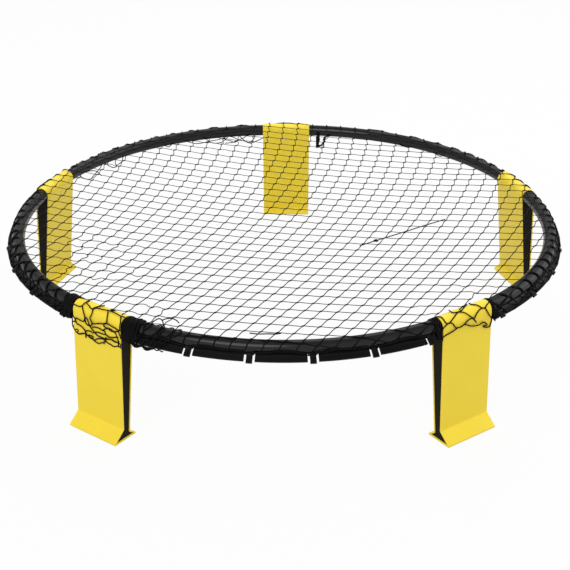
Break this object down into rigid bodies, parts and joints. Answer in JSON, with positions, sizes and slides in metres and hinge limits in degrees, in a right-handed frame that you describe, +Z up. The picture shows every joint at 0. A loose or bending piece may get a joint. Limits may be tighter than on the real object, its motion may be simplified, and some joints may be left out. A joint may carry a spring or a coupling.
{
  "type": "roundnet set",
  "caption": "Low ring of black tubes on folding yellow legs, with a knotted black net stretched over it and hooked under a notched fin, for bouncing a small ball.",
  "frame": {"origin": "on the floor, below the middle of the footprint", "axes": "+Z up, +Y towards the leg at the back of the ring, +X to the right of a viewer who faces that leg"},
  "size_m": [0.943, 0.9452, 0.2019],
  "materials": {
    "rim_plastic": "smooth moulded, semi-gloss",
    "core_plastic": "moulded, matte",
    "leg_yellow": "fine-textured, satin",
    "leg_charcoal": "moulded, matte",
    "screw_steel": "plated",
    "net_cord": "twisted and knotted cord"
  },
  "bodies": {
    "rim": {"rim_tube_1": "rim_plastic", "rim_tube_2": "rim_plastic", "rim_tube_3": "rim_plastic", "rim_tube_4": "rim_plastic", "rim_tube_5": "rim_plastic", "rim_joiner_1": "core_plastic", "rim_joiner_2": "core_plastic", "rim_joiner_3": "core_plastic", "rim_joiner_4": "core_plastic", "rim_joiner_5": "core_plastic", "net_mesh": "net_cord", "net_loops": "net_cord"},
    "leg_1": {"leg_shell_1": "leg_yellow", "leg_side_left_1": "leg_charcoal", "leg_side_right_1": "leg_charcoal", "leg_hub_1": "core_plastic", "leg_screw_1": "screw_steel"},
    "leg_2": {"leg_shell_2": "leg_yellow", "leg_side_left_2": "leg_charcoal", "leg_side_right_2": "leg_charcoal", "leg_hub_2": "core_plastic", "leg_screw_2": "screw_steel"},
    "leg_3": {"leg_shell_3": "leg_yellow", "leg_side_left_3": "leg_charcoal", "leg_side_right_3": "leg_charcoal", "leg_hub_3": "core_plastic", "leg_screw_3": "screw_steel"},
    "leg_4": {"leg_shell_4": "leg_yellow", "leg_side_left_4": "leg_charcoal", "leg_side_right_4": "leg_charcoal", "leg_hub_4": "core_plastic", "leg_screw_4": "screw_steel"},
    "leg_5": {"leg_shell_5": "leg_yellow", "leg_side_left_5": "leg_charcoal", "leg_side_right_5": "leg_charcoal", "leg_hub_5": "core_plastic", "leg_screw_5": "screw_steel"}
  },
  "joints": [
    {"name": "leg_1_fold", "type": "hinge", "parent": "rim", "child": "leg_1", "pos_m": [0, 0.43205, 0.1865], "axis": [-1, 0, 0], "range_deg": [0, 90]},
    {"name": "leg_2_fold", "type": "hinge", "parent": "rim", "child": "leg_2", "pos_m": [-0.41846, 0.12802, 0.1865], "axis": [-0.309, -0.9511, 0], "range_deg": [0, 90]},
    {"name": "leg_3_fold", "type": "hinge", "parent": "rim", "child": "leg_3", "pos_m": [-0.25863, -0.36391, 0.1865], "axis": [0.809, -0.5878, 0], "range_deg": [0, 90]},
    {"name": "leg_4_fold", "type": "hinge", "parent": "rim", "child": "leg_4", "pos_m": [0.25863, -0.36391, 0.1865], "axis": [0.809, 0.5878, 0], "range_deg": [0, 90]},
    {"name": "leg_5_fold", "type": "hinge", "parent": "rim", "child": "leg_5", "pos_m": [0.41846, 0.12802, 0.1865], "axis": [-0.309, 0.9511, 0], "range_deg": [0, 90]}
  ]
}
